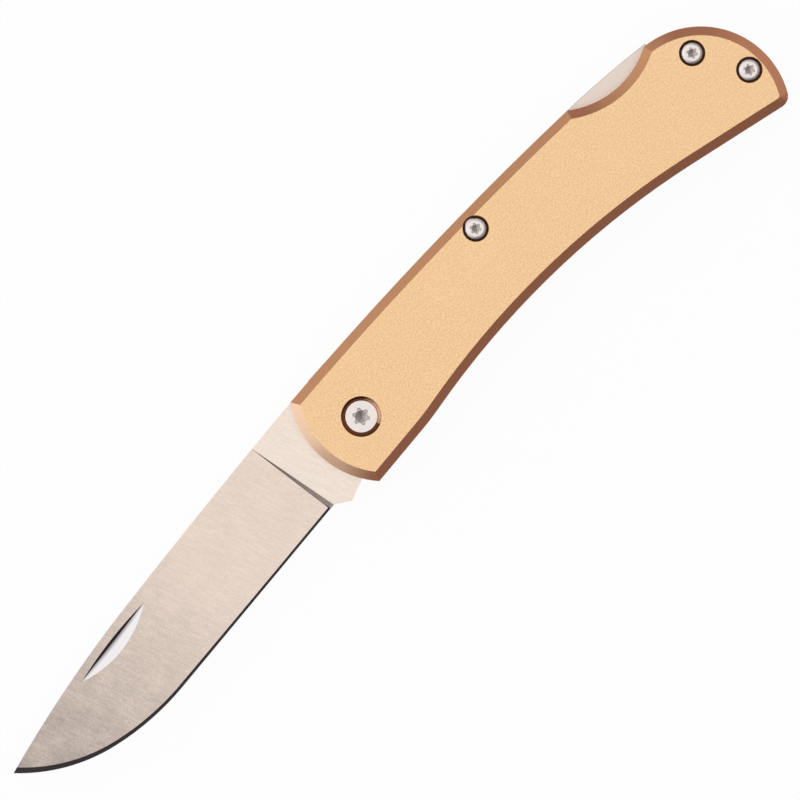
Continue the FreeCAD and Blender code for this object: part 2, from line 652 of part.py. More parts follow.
def small_screw():
    """The button-headed screw used at the lock bar's pivot and at the butt."""
    radius = SMALL_HEAD_DIAMETER / 2
    points = [PIVOT, Vector(radius, 0, 0), Vector(radius, 0, SMALL_HEAD_RIM),
              Vector(SMALL_HEAD_SHOULDER_DIAMETER / 2, 0, SMALL_HEAD_SHOULDER_RISE),
              Vector(SMALL_HEAD_FLAT_DIAMETER / 2, 0, SMALL_HEAD_HEIGHT),
              UP * SMALL_HEAD_HEIGHT, PIVOT]
    edges = Part.makePolygon(points).Edges
    return screw(edges, SMALL_HEAD_HEIGHT, SMALL_SHANK_DIAMETER, SMALL_KEY_DIAMETER)


def seated(fastener, counterbore_depth, centre):
    """A screw standing on its counterbore's floor in the left scale."""
    placed = fastener.copy()
    placed.translate(centre + UP * (TOTAL_THICKNESS - counterbore_depth))
    return placed


def left_washer():
    """The bronze washer between the blade and the left scale."""
    base = MID_HEIGHT + SLOT_WIDTH / 2 - WASHER_THICKNESS
    ring = rod(WASHER_DIAMETER, WASHER_THICKNESS, PIVOT, base)
    bore = PIVOT_BARREL_DIAMETER + 2 * WASHER_BORE_CLEARANCE
    return ring.cut(rod(bore, WASHER_THICKNESS + 2 * OVERRUN, PIVOT, base - OVERRUN))


# The whole knife

def pieces():
    """Every piece by its node's name."""
    pivot_bore = PIVOT_SHANK_DIAMETER + 2 * SHANK_CLEARANCE
    small_bore = SMALL_SHANK_DIAMETER + 2 * SHANK_CLEARANCE
    made = {"left_scale": left_scale(),
            "blade": blade(),
            "lock_bar": lock_bar(),
            "lock_spring": lock_spring(),
            "back_spacer": back_spacer(),
            "left_pivot_washer": left_washer(),
            "pivot_barrel": barrel(PIVOT_BARREL_DIAMETER, pivot_bore, PIVOT_COUNTERBORE_DEPTH, PIVOT),
            "left_pivot_screw": seated(pivot_screw(), PIVOT_COUNTERBORE_DEPTH, PIVOT)}
    places = {"rocker": ROCKER, "rear_upper": REAR_UPPER, "rear_lower": REAR_LOWER}
    for name, centre in places.items():
        made[name + "_barrel"] = barrel(SMALL_BARREL_DIAMETER, small_bore, SMALL_COUNTERBORE_DEPTH, centre)
        made["left_" + name + "_screw"] = seated(small_screw(), SMALL_COUNTERBORE_DEPTH, centre)
    for name in [name for name in made if name.startswith("left_")]:
        made[name.replace("left_", "right_")] = other_side(made[name])
    return made


def main():
    os.makedirs("parts", exist_ok=True)
    for name, solid in pieces().items():
        solid.exportStep(os.path.join("parts", name + ".step"))
        box = solid.BoundBox
        print("%-24s valid %s solids %d volume %8.2f  x %.2f..%.2f  y %.2f..%.2f  z %.2f..%.2f" % (
            name, solid.isValid(), len(solid.Solids), solid.Volume,
            box.XMin, box.XMax, box.YMin, box.YMax, box.ZMin, box.ZMax))
    print("lock bar pivot", ROCKER, "lock travel %.3f" % LOCK_TRAVEL, "closing angle %.2f" % closing_angle())


main()
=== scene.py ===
# %% [markdown]
# # A lock-back pocket knife, dressed on its CAD frame
# The knife lies open on its right scale. Its shapes were cut in CAD, so this lesson adds no new parts: it
# gives every piece a finish like the real one's, breaks a few sharp edges, and lights and frames the
# knife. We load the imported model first, and keep its box, because the looks must not change the size.

# %% Load the frame
import math

import bpy
from mathutils import Matrix, Vector


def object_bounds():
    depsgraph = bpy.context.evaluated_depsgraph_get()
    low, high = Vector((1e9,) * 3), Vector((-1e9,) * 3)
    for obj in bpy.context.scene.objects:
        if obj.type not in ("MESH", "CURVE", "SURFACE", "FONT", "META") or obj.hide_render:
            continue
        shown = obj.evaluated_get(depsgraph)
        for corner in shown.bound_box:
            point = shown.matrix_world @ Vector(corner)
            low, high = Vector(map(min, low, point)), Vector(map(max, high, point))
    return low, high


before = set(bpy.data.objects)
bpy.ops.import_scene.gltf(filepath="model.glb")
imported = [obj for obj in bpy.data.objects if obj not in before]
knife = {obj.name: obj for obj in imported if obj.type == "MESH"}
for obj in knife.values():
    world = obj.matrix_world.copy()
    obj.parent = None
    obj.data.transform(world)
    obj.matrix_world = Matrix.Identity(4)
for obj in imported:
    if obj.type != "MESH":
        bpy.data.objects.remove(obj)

cad_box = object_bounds()
MM = 0.001
print("pieces:", len(knife), "box in mm:", [round(c / MM, 2) for corner in cad_box for c in corner])

# %% [markdown]
# ## The camera
# The photo looks straight down on the knife, which lies across the picture from lower left to upper
# right. A wide lens would make the upper scale look larger than the blade below it. A long lens from far
# away keeps all the layers at one scale, as the photo shows them, so we stand off and narrow the view.

# %% Camera
PICTURE_WIDTH = 154.0 * MM
CAMERA_DISTANCE = 2.5
SENSOR_WIDTH = 36.0
KNIFE_TILT = math.radians(48.0)
PICTURE_CENTRE = Vector((7.335, -3.40, 5.92)) * MM


def photo_camera():
    """Looks straight down, turned so that the knife's length runs to the upper right."""
    lens = bpy.data.cameras.new("photo_camera")
    lens.sensor_width = SENSOR_WIDTH
    lens.lens = SENSOR_WIDTH * CAMERA_DISTANCE / PICTURE_WIDTH
    camera = bpy.data.objects.new("photo_camera", lens)
    bpy.context.scene.collection.objects.link(camera)
    stand = PICTURE_CENTRE + Vector((0, 0, CAMERA_DISTANCE))
    camera.matrix_world = Matrix.Translation(stand) @ Matrix.Rotation(-KNIFE_TILT, 4, "Z")
    bpy.context.scene.camera = camera


photo_camera()
bpy.context.scene.view_settings.view_transform = "Standard"
print("lens in mm:", round(bpy.context.scene.camera.data.lens, 1))

# %% [markdown]
# ## Helpers for finishes
# Every finish below is a tree of shader nodes. Written out node by node, such trees hide their idea. So
# one helper adds a node and fills or links its inputs, one starts a metal, and four more take the sums,
# the ranges, the masks and the mixing of colours.

# %% Nodes and metals


def put(tree, kind, inputs=None, **settings):
    """Adds a node, applies its settings, and sets or links each named input."""
    made = tree.nodes.new("ShaderNode" + kind)
    for name, value in settings.items():
        setattr(made, name, value)
    for name, value in (inputs or {}).items():
        if isinstance(value, bpy.types.NodeSocket):
            tree.links.new(value, made.inputs[name])
        else:
            made.inputs[name].default_value = value
    return made


def metal(name, roughness=0.3):
    """Starts a finish of bare or anodised metal."""
    finish = bpy.data.materials.new(name)
    finish.use_nodes = True
    shader = finish.node_tree.nodes["Principled BSDF"]
    shader.inputs["Metallic"].default_value = 1.0
    shader.inputs["Roughness"].default_value = roughness
    return finish, finish.node_tree, shader


print("helpers:", put.__name__, metal.__name__)

# %% Sums, ranges and colours
MIX_COLOURS = (6, 7)
MIX_RESULT = 2


def calculate(tree, operation, first, second=0.0):
    """One sum on numbers or sockets."""
    return put(tree, "Math", {0: first, 1: second}, operation=operation).outputs[0]


def ramp(tree, value, low, high, start=0.0, end=1.0):
    """Runs from start to end while value runs from low to high."""
    inputs = {"Value": value, "From Min": low, "From Max": high, "To Min": start, "To Max": end}
    return put(tree, "MapRange", inputs).outputs["Result"]


def both(tree, first, second):
    """1 where two masks are both 1."""
    return calculate(tree, "MULTIPLY", first, second)


def tint(tree, share, first, second):
    """Mixes two colours by a share."""
    mixer = put(tree, "Mix", {"Factor": share}, data_type="RGBA")
    for number, colour in zip(MIX_COLOURS, (first, second)):
        if isinstance(colour, bpy.types.NodeSocket):
            tree.links.new(colour, mixer.inputs[number])
        else:
            mixer.inputs[number].default_value = (*colour, 1.0)
    return mixer.outputs[MIX_RESULT]


print("helpers:", calculate.__name__, ramp.__name__, both.__name__, tint.__name__)

# %% [markdown]
# ## Where on a piece, and which way it faces
# A finish changes over a piece: a face, its chamfer and a screw's seat differ. Each could have a material
# slot of its own, but then the faces would have to be picked by hand. Here the shader asks where it is on
# the piece, and which way the surface faces, and so one finish serves a whole piece.

# %% Places and directions
UP = (0, 0, 1)
TIPWARD = (-1, 0, 0)
SPINEWARD = (0, 1, 0)
LEVEL = (1, 1, 0)


def along(tree, vector, way):
    """How far a vector socket reaches along one way."""
    return put(tree, "VectorMath", {0: vector, 1: way}, operation="DOT_PRODUCT").outputs["Value"]


def facing(tree, way):
    """How far a face of a piece looks one way: 1 straight that way, 0 across it."""
    return along(tree, put(tree, "TexCoord").outputs["Normal"], way)


def upright(tree):
    """How far a face looks up or down on its own piece: 1 on flats, 0 on walls."""
    return calculate(tree, "ABSOLUTE", facing(tree, UP))


def offset(tree, start=(0, 0, 0)):
    """The way from a start point to the place on the piece."""
    place = put(tree, "TexCoord").outputs["Object"]
    return put(tree, "VectorMath", {0: place, 1: start}, operation="SUBTRACT").outputs[0]


def from_axis(tree, vector):
    """How far a vector reaches from the upright axis through its start."""
    flattened = put(tree, "VectorMath", {0: vector, 1: LEVEL}, operation="MULTIPLY").outputs[0]
    return put(tree, "VectorMath", {0: flattened}, operation="LENGTH").outputs["Value"]


print("directions: up", UP, "tip", TIPWARD, "spine", SPINEWARD)

# %% Grain and relief


def grain(tree, per_mm, stretch=(1, 1, 1), turn=0.0, detail=2.0):
    """Noise fixed to the piece, with grains of a real size, stretched and turned in the piece's plane."""
    place = put(tree, "TexCoord").outputs["Object"]
    turned = put(tree, "Mapping", {"Vector": place, "Rotation": (0, 0, turn)}).outputs[0]
    scaled = put(tree, "Mapping", {"Vector": turned, "Scale": stretch}).outputs[0]
    noise = put(tree, "TexNoise", {"Vector": scaled, "Scale": per_mm / MM, "Detail": detail})
    return noise.outputs["Fac"]


def roughen(tree, shader, height, depth):
    """Gives the surface a fine relief of a real depth."""
    bump = put(tree, "Bump", {"Height": height, "Strength": 1.0, "Distance": depth})
    tree.links.new(bump.outputs["Normal"], shader.inputs["Normal"])


print("helpers:", grain.__name__, roughen.__name__)

# %% [markdown]
# ## The anodised scales: blasted faces
# The handle halves are aluminium. Their faces are blasted with fine beads, which leaves a soft, sparkling
# grain, and dyed to a pale bronze. A picture of the grain would repeat and blur when seen close. Noise in
# real sizes does neither, so the beads are noise, and wide, faint clouds of a second noise break their
# evenness.

# %% Blasted faces
BLASTED_PALE = (0.96, 0.675, 0.39)
BLASTED_DEEP = (0.82, 0.53, 0.285)
BLAST_PER_MM = 3.2
BLAST_DETAIL = 3.0
BLAST_SPREAD = (0.36, 0.64)
FACE_CLOUDS_PER_MM = 0.12
FACE_CLOUD_SPREAD = (0.3, 0.7)
FACE_CLOUD_SHARE = 0.15
FACE_UPRIGHT = (0.85, 0.97)
FACE_MARGIN = 0.2 * MM
KNIFE_MIDDLE = (cad_box[0][2] + cad_box[1][2]) / 2
FACE_DISTANCE = (cad_box[1][2] - cad_box[0][2]) / 2 - FACE_MARGIN


def on_face(tree):
    """1 on the outer flat faces of the scales, 0 on their chamfers, walls and inner sides."""
    from_middle = along(tree, offset(tree, (0, 0, KNIFE_MIDDLE)), UP)
    outer = calculate(tree, "GREATER_THAN", calculate(tree, "ABSOLUTE", from_middle), FACE_DISTANCE)
    return both(tree, outer, ramp(tree, upright(tree), *FACE_UPRIGHT))


def blasted_bronze(tree):
    """The colour of the blasted faces, and the height of their beads."""
    beads = grain(tree, BLAST_PER_MM, detail=BLAST_DETAIL)
    colour = tint(tree, ramp(tree, beads, *BLAST_SPREAD), BLASTED_DEEP, BLASTED_PALE)
    clouds = ramp(tree, grain(tree, FACE_CLOUDS_PER_MM), *FACE_CLOUD_SPREAD, 0.0, FACE_CLOUD_SHARE)
    return tint(tree, clouds, colour, BLASTED_PALE), beads


print("face lies beyond mm:", round(FACE_DISTANCE / MM, 2), "from the middle")

# %% [markdown]
# ## The anodised scales: chamfers and seats
# The chamfer and the walls are cut smooth, and look a deeper brown than the faces. In the photo they look
# warmer on the spine and the butt, and pale at the front, where they mirror brighter sides of the studio.
# A stronger lamp would bring this too, but it would bleach the faces, so the warmth and the paleness are
# written into the colour by the way each face looks. The seats around the screws get a painted shade,
# almost black, for the shade in their narrow gaps.

# %% Chamfers and walls
# The warm butt and spine colours and the pale front colour are painted reflections.
MACHINED_BROWN = (0.40, 0.128, 0.048)
BUTT_REFLECTION_WARM = (0.55, 0.20, 0.085)
BUTT_WAY = Vector((0.95, -0.3, 0.0))
BUTT_TURN = (0.42, 0.68)
SPINE_REFLECTION_WARM = (0.58, 0.26, 0.112)
SPINE_WAY = Vector((-0.35, 0.94, 0.0))
SPINE_TURN = (0.45, 0.66)
FRONT_REFLECTION_PALE = (0.93, 0.61, 0.41)
FRONT_WAY = Vector((-0.87, 0.5, 0.0))
FRONT_TURN = (0.30, 0.66)
FRONT_TO = 6.0 * MM
FRONT_LEAST = 0.25


def cut_bronze(tree):
    """The colour of the chamfers and walls, with painted reflections that warm the butt and the spine."""
    colour = tint(tree, ramp(tree, facing(tree, BUTT_WAY), *BUTT_TURN), MACHINED_BROWN, BUTT_REFLECTION_WARM)
    return tint(tree, ramp(tree, facing(tree, SPINE_WAY), *SPINE_TURN), colour, SPINE_REFLECTION_WARM)


def paint_front_reflection(tree, colour):
    """Paints a pale reflection on the faces at the front end, and leaves the spine beside them as it is."""
    near_front = calculate(tree, "GREATER_THAN", along(tree, offset(tree), TIPWARD), -FRONT_TO)
    tip_side = calculate(tree, "GREATER_THAN", facing(tree, TIPWARD), FRONT_LEAST)
    front = both(tree, near_front, tip_side)
    return tint(tree, both(tree, front, ramp(tree, facing(tree, FRONT_WAY), *FRONT_TURN)), colour, FRONT_REFLECTION_PALE)


print("front end reaches to mm:", round(FRONT_TO / MM, 1))

# %% Screw seats
# Painted shade: the seats around the screws are darkened in colour for the shade in their gaps.
MOUTH_PAINTED_SHADE = (0.17, 0.066, 0.03)
MOUTH_RADIUS = 4.0 * MM
SEAT_PAINTED_SHADE = (0.07, 0.03, 0.018)
SEAT_RADIUS = 2.6 * MM
SMALL_SCREWS = ("rocker", "rear_upper", "rear_lower")


def near_screw(tree, place, radius):
    """1 within a radius of a screw's axis, 0 elsewhere."""
    corners = [Vector(corner) for corner in knife[f"left_{place}_screw"].bound_box]
    middle = sum(corners, Vector()) / len(corners)
    return calculate(tree, "LESS_THAN", from_axis(tree, offset(tree, middle)), radius)


def paint_seat_shade(tree, colour):
    """Paints shade into the mouth of the pivot screw and the seats of the small ones, and tells where they
    are.
    """
    seats = near_screw(tree, "pivot", MOUTH_RADIUS)
    colour = tint(tree, seats, colour, MOUTH_PAINTED_SHADE)
    for place in SMALL_SCREWS:
        seat = near_screw(tree, place, SEAT_RADIUS)
        colour = tint(tree, seat, colour, SEAT_PAINTED_SHADE)
        seats = calculate(tree, "MAXIMUM", seats, seat)
    return colour, seats


print("seats:", 1 + len(SMALL_SCREWS))

# %% Anodised bronze
CUT_ROUGHNESS = 0.22
BLASTED_ROUGHNESS = 0.5
SKIN_ROUGHNESS = 0.2
BLAST_DEPTH = 0.012 * MM


def anodised_bronze():
    """Blasted faces, with smooth chamfers and walls under a clear anodic skin."""
    finish, tree, shader = metal("anodised_bronze")
    face = on_face(tree)
    blasted, beads = blasted_bronze(tree)
    cut, seats = paint_seat_shade(tree, cut_bronze(tree))
    cut = paint_front_reflection(tree, cut)
    tree.links.new(tint(tree, face, cut, blasted), shader.inputs["Base Color"])
    roughness = ramp(tree, face, 0.0, 1.0, CUT_ROUGHNESS, BLASTED_ROUGHNESS)
    tree.links.new(roughness, shader.inputs["Roughness"])
    no_skin = calculate(tree, "MAXIMUM", face, seats)
    tree.links.new(ramp(tree, no_skin, 0.0, 1.0, 1.0, 0.0), shader.inputs["Coat Weight"])
    shader.inputs["Coat Roughness"].default_value = SKIN_ROUGHNESS
    roughen(tree, shader, both(tree, beads, face), BLAST_DEPTH)
    return finish


bronze = anodised_bronze()
print("finish:", bronze.name, "with", len(bronze.node_tree.nodes), "nodes")

# %% [markdown]
# ## The satin blade: ground faces
# The ground faces carry fine lines across the blade, left by the belt, and faint clouds. In the photo they
# turn greyer towards the tip, and that grey is painted shade. Stretched noise makes the belt's lines, fine
# noise makes pits between them, and a ramp along the blade paints the grey, because all three keep their
# real size at any distance.

# %% Ground faces
GROUND_WARM = (0.86, 0.72, 0.62)
GROUND_MIDDLE = (0.79, 0.66, 0.57)
GROUND_TIP_SHADE = (0.44, 0.375, 0.34)
GROUND_RUN = (42.0 * MM, 94.0 * MM)
LINE_GREY = (0.16, 0.14, 0.13)
LINE_SPREAD = (0.8, 1.2)
LINE_STRENGTHS = (0.12, 0.32)
BELT_PER_MM = 0.35
BELT_STRETCH = (7.0, 1.0, 1.0)
BELT_LEAN = math.radians(-17.0)
BELT_DETAIL = 6.0
PITS_PER_MM = 2.4
PITS_DETAIL = 3.0
STEEL_CLOUDS_PER_MM = 0.16
STEEL_CLOUD_DETAIL = 3.0
STEEL_CLOUD_SPREAD = (0.35, 0.65)
STEEL_CLOUD_SHARE = 0.3


def belt_marks(tree):
    """The lines of the belt with the pits between them: 1 in a mark, 0 beside it."""
    lines = grain(tree, BELT_PER_MM, BELT_STRETCH, BELT_LEAN, BELT_DETAIL)
    pits = grain(tree, PITS_PER_MM, detail=PITS_DETAIL)
    return ramp(tree, calculate(tree, "ADD", lines, pits), *LINE_SPREAD)


def ground_steel(tree, marks, tipward):
    """The colour of the ground faces, with clouds and belt lines, and painted shade that greys them towards
    the tip.
    """
    share = ramp(tree, tipward, *GROUND_RUN)
    colour = tint(tree, share, GROUND_MIDDLE, GROUND_TIP_SHADE)
    clouds = grain(tree, STEEL_CLOUDS_PER_MM, detail=STEEL_CLOUD_DETAIL)
    warmth = ramp(tree, clouds, *STEEL_CLOUD_SPREAD, 0.0, STEEL_CLOUD_SHARE)
    colour = tint(tree, warmth, colour, GROUND_WARM)
    strength = calculate(tree, "MULTIPLY", ramp(tree, share, 0.0, 1.0, *LINE_STRENGTHS), marks)
    return tint(tree, strength, colour, LINE_GREY)


print("grey from and to mm:", [round(place / MM) for place in GROUND_RUN])

# %% [markdown]
# ## The satin blade: nick, plunge and honed bevel
# The nail nick is a long cut with a bright slope that darkens towards its wall. The plunge, where the
# grind ends, starts as a dark line at the spine and opens to a grey slope at the edge. The honed bevel is
# a smooth, narrow band that looks dark, because it mirrors a dark side of the studio. The plain room here
# lacks the dark sides that they mirror in the photo, so their pale and dark parts are written into the
# colour.

# %% Nick and plunge
NICK_PAINTED_HIGHLIGHT = (0.77, 0.74, 0.745)
NICK_SHADE = (0.13, 0.115, 0.12)
NICK_REAR = Vector((-54.6, 7.14, 0.0)) * MM
NICK_FRONT = Vector((-73.7, 5.82, 0.0)) * MM
NICK_FADE = (-0.1 * MM, 0.75 * MM)
NICK_BOW = 0.45 * MM
PLUNGE_DEEP_SHADE = (0.24, 0.20, 0.18)
PLUNGE_GREY_SHADE = (0.47, 0.39, 0.36)
PLUNGE_RUN = (7.0 * MM, -2.0 * MM)


def nick_steel(tree):
    """The colour of the nick's slope: painted shade by the wall, a painted highlight at the outer rim."""
    run = (NICK_FRONT - NICK_REAR) / 2
    way = run.normalized()
    from_middle = offset(tree, NICK_REAR + run)
    below = along(tree, from_middle, (-way.y, way.x, 0))
    ends = calculate(tree, "POWER", along(tree, from_middle, way / run.length), 2.0)
    below = calculate(tree, "ADD", below, calculate(tree, "MULTIPLY", ends, NICK_BOW))
    return tint(tree, ramp(tree, below, *NICK_FADE), NICK_SHADE, NICK_PAINTED_HIGHLIGHT)


def plunge_steel(tree):
    """The colour of the plunge, a painted shade: dark by the spine, grey towards the edge."""
    edgeward = ramp(tree, along(tree, offset(tree), SPINEWARD), *PLUNGE_RUN)
    return tint(tree, edgeward, PLUNGE_DEEP_SHADE, PLUNGE_GREY_SHADE)


print("nick's length in mm:", round((NICK_FRONT - NICK_REAR).length / MM, 1))

# %% [markdown]
# ## The satin blade: one steel
# The flats of the tang are polished bright. The grinds of the blade all differ in their angle, so how
# upright a face is tells which it is: the flats first, then the ground faces, the nick, the steep slopes
# and the walls.

# %% Satin steel
FLAT_BRIGHT = (0.79, 0.685, 0.595)
# Painted reflection: the honed bevel is dark in colour for the dark side of the studio it mirrors.
HONED_DARK_REFLECTION = (0.08, 0.067, 0.072)
FLAT_UPRIGHT = (0.9990, 0.9997)
NICK_UPRIGHT = 0.995
STEEP_UPRIGHT = 0.965
HONED_UPRIGHT = 0.88
WALL_UPRIGHT = 0.2
NICK_FROM = 45.0 * MM
FLAT_LINES = 0.09
GROUND_ROUGHNESS = 0.36
FLAT_ROUGHNESS = 0.24
BELT_DEPTH = 0.002 * MM


def satin_steel():
    """Polished flats, ground faces, the nick, the plunge and the honed bevel in one finish."""
    finish, tree, shader = metal("satin_steel")
    rise = upright(tree)
    tipward = along(tree, offset(tree), TIPWARD)
    marks = belt_marks(tree)
    flat = ramp(tree, rise, *FLAT_UPRIGHT)
    polished = tint(tree, calculate(tree, "MULTIPLY", marks, FLAT_LINES), FLAT_BRIGHT, LINE_GREY)
    colour = tint(tree, flat, ground_steel(tree, marks, tipward), polished)
    past_nick = calculate(tree, "GREATER_THAN", tipward, NICK_FROM)
    sloped = calculate(tree, "GREATER_THAN", rise, WALL_UPRIGHT)
    nick = both(tree, past_nick, calculate(tree, "LESS_THAN", rise, NICK_UPRIGHT))
    # Painted highlight and shade on the nick, painted shade on the plunge, and a painted dark reflection on
    # the honed bevel.
    colour = tint(tree, both(tree, nick, sloped), colour, nick_steel(tree))
    honed = calculate(tree, "MAXIMUM", past_nick, calculate(tree, "GREATER_THAN", rise, HONED_UPRIGHT))
    dark = tint(tree, honed, plunge_steel(tree), HONED_DARK_REFLECTION)
    steep = both(tree, sloped, calculate(tree, "LESS_THAN", rise, STEEP_UPRIGHT))
    tree.links.new(tint(tree, steep, colour, dark), shader.inputs["Base Color"])
    roughness = ramp(tree, flat, 0.0, 1.0, GROUND_ROUGHNESS, FLAT_ROUGHNESS)
    tree.links.new(roughness, shader.inputs["Roughness"])
    roughen(tree, shader, marks, BELT_DEPTH)
    return finish


steel = satin_steel()
print("finish:", steel.name, "with", len(steel.node_tree.nodes), "nodes")

# %% [markdown]
# ## The lock bar and the inner steel
# The lock bar is brushed along its length, and its broken edges get thin dark lines of painted shade. The
# spring and the spacer lie inside, so their finishes are a guess: a darker, tempered steel, and a plain
# blasted one.
# Noise that is squeezed across one direction makes brush lines along it, and even noise makes the blasted
# grain, so one function serves all three.

# %% Brushed steels
BAR_WARM = (0.735, 0.62, 0.55)
BAR_GREY = (0.685, 0.58, 0.515)
BAR_EDGE_SHADE = (0.16, 0.14, 0.13)
BAR_ROUGHNESS = 0.34
BAR_LINES_PER_MM = 0.8
SPRING_BLUE = (0.22, 0.23, 0.26)
SPRING_STRAW = (0.34, 0.31, 0.28)
SPRING_ROUGHNESS = 0.3
SPACER_PALE = (0.58, 0.56, 0.54)
SPACER_GREY = (0.46, 0.45, 0.44)
SPACER_ROUGHNESS = 0.45
INNER_GRAIN_PER_MM = 0.4
LENGTHWISE = (1.0, 16.0, 16.0)
EVEN_GRAIN = (6.0, 6.0, 6.0)
BRUSH_DETAIL = 5.0
BRUSH_SPREAD = (0.35, 0.65)
BRUSH_DEPTH = 0.004 * MM
EDGE_UPRIGHT = (0.15, 0.97)


def edge_mask(tree):
    """1 on broken edges, which are neither walls nor flats."""
    rise = upright(tree)
    above_walls = calculate(tree, "GREATER_THAN", rise, EDGE_UPRIGHT[0])
    return both(tree, above_walls, calculate(tree, "LESS_THAN", rise, EDGE_UPRIGHT[1]))


def brushed(name, pale, deep, roughness, stretch, per_mm=INNER_GRAIN_PER_MM, edge=None):
    """A steel brushed along one direction; its broken edges can get a painted shade of their own."""
    finish, tree, shader = metal(name, roughness)
    lines = grain(tree, per_mm, stretch, detail=BRUSH_DETAIL)
    colour = tint(tree, ramp(tree, lines, *BRUSH_SPREAD), deep, pale)
    if edge:
        colour = tint(tree, edge_mask(tree), colour, edge)
    tree.links.new(colour, shader.inputs["Base Color"])
    roughen(tree, shader, lines, BRUSH_DEPTH)
    return finish


# Painted shade: thin dark lines on the lock bar's broken edges.
bar_steel = brushed("brushed_bar_steel", BAR_WARM, BAR_GREY, BAR_ROUGHNESS, LENGTHWISE,
                    per_mm=BAR_LINES_PER_MM, edge=BAR_EDGE_SHADE)
spring_steel = brushed("tempered_spring_steel", SPRING_STRAW, SPRING_BLUE, SPRING_ROUGHNESS, LENGTHWISE)
spacer_steel = brushed("blasted_spacer_steel", SPACER_PALE, SPACER_GREY, SPACER_ROUGHNESS, EVEN_GRAIN)
print("finishes:", bar_steel.name, spring_steel.name, spacer_steel.name)

# %% [markdown]
# ## The turned pieces
# Screws, barrels and washers come off a lathe, so their fine marks run in rings. The rings could be
# modelled, but they are far too fine. A ring wave in the colour and the relief is enough. Generated
# coordinates measure each piece from its own box, so one finish rings every screw around its own middle
# and finds its socket.

# %% Turned metals
SCREW_BRIGHT = (0.77, 0.69, 0.655)
SCREW_GREY = (0.60, 0.54, 0.515)
SCREW_ROUGHNESS = 0.2
SOCKET_SHADE_GREY = (0.44, 0.40, 0.385)
SOCKET_RADIUS_SHARE = 0.275
SOCKET_TOP_SHARE = 0.49
WASHER_PALE = (0.72, 0.47, 0.22)
WASHER_DEEP = (0.55, 0.33, 0.14)
WASHER_ROUGHNESS = 0.3
BOX_CENTRE = (0.5, 0.5, 0.5)
RINGS = 26.0
RING_WANDER = 0.6
RING_DEPTH = 0.003 * MM
PATINA_PER_MM = 1.5
PATINA_SPREAD = (0.3, 0.7)
PATINA_SHARE = 0.5


def in_socket(tree, from_middle):
    """1 in the socket of a screw: near its axis and below the top of its head."""
    depth = calculate(tree, "ABSOLUTE", along(tree, from_middle, UP))
    sunk = calculate(tree, "LESS_THAN", depth, SOCKET_TOP_SHARE)
    return both(tree, sunk, calculate(tree, "LESS_THAN", from_axis(tree, from_middle), SOCKET_RADIUS_SHARE))


def turned(name, pale, deep, roughness, socket=None):
    """A metal with fine lathe rings around the middle of its piece; a socket can get a darker, painted shade.
    """
    finish, tree, shader = metal(name, roughness)
    place = put(tree, "TexCoord").outputs["Generated"]
    from_middle = put(tree, "VectorMath", {0: place, 1: BOX_CENTRE}, operation="SUBTRACT").outputs[0]
    rings = put(tree, "TexWave", {"Vector": from_middle, "Scale": RINGS, "Distortion": RING_WANDER},
                wave_type="RINGS", rings_direction="Z").outputs["Fac"]
    patina = ramp(tree, grain(tree, PATINA_PER_MM), *PATINA_SPREAD, 0.0, PATINA_SHARE)
    colour = tint(tree, calculate(tree, "MULTIPLY", rings, patina), pale, deep)
    if socket:
        colour = tint(tree, in_socket(tree, from_middle), colour, socket)
    tree.links.new(colour, shader.inputs["Base Color"])
    roughen(tree, shader, rings, RING_DEPTH)
    return finish


# Painted shade: the screws' sockets are a darker grey.
screw_steel = turned("turned_screw_steel", SCREW_BRIGHT, SCREW_GREY, SCREW_ROUGHNESS, SOCKET_SHADE_GREY)
washer_bronze = turned("turned_washer_bronze", WASHER_PALE, WASHER_DEEP, WASHER_ROUGHNESS)
print("finishes:", screw_steel.name, washer_bronze.name)

# %% [markdown]
# ## Dressing the CAD pieces
# CAD edges are perfectly sharp, and real ones never are: a broken edge shows as a thin line. The
# triangles of a flat are first joined again, then the edges are broken by a real width, and the normals
# are weighted so that the flats stay flat. Modifiers do this, because the CAD mesh itself must stay as it
# is. Only the lock bar and the screws get it. The blade keeps its edges, because a blade is ground sharp,
# and the scales keep theirs, because the chamfer already breaks them.

# %% Broken edges
WELD_REACH = 0.0005 * MM
FLAT_ANGLE = math.radians(1.0)
BREAK_ANGLE = math.radians(20.0)
BREAK_STEPS = 2


def break_edges(piece, width):
    """Joins the flats of a piece again and breaks its edges by a width."""
    weld = piece.modifiers.new("join_points", "WELD")
    weld.merge_threshold = WELD_REACH
    flats = piece.modifiers.new("join_flats", "DECIMATE")
    flats.decimate_type = "DISSOLVE"
    flats.angle_limit = FLAT_ANGLE
    edges = piece.modifiers.new("broken_edges", "BEVEL")
    edges.width = width
    edges.segments = BREAK_STEPS
    edges.limit_method = "ANGLE"
    edges.angle_limit = BREAK_ANGLE
    edges.harden_normals = False
    normals = piece.modifiers.new("flat_flats", "WEIGHTED_NORMAL")
    normals.keep_sharp = True


def dress(names, finish, broken=0.0):
    """Gives CAD pieces their finish, and breaks their edges where a width is given."""
    for name in names:
        piece = knife[name]
        piece.data.materials.clear()
        piece.data.materials.append(finish)
        if broken:
            break_edges(piece, broken)


print("edges sharper than degrees:", round(math.degrees(BREAK_ANGLE)))

# %% Dressed pieces
BAR_BREAK = 0.06 * MM
SCREW_BREAK = 0.04 * MM
SIDES = ("left", "right")
SCREW_PLACES = ("pivot", *SMALL_SCREWS)

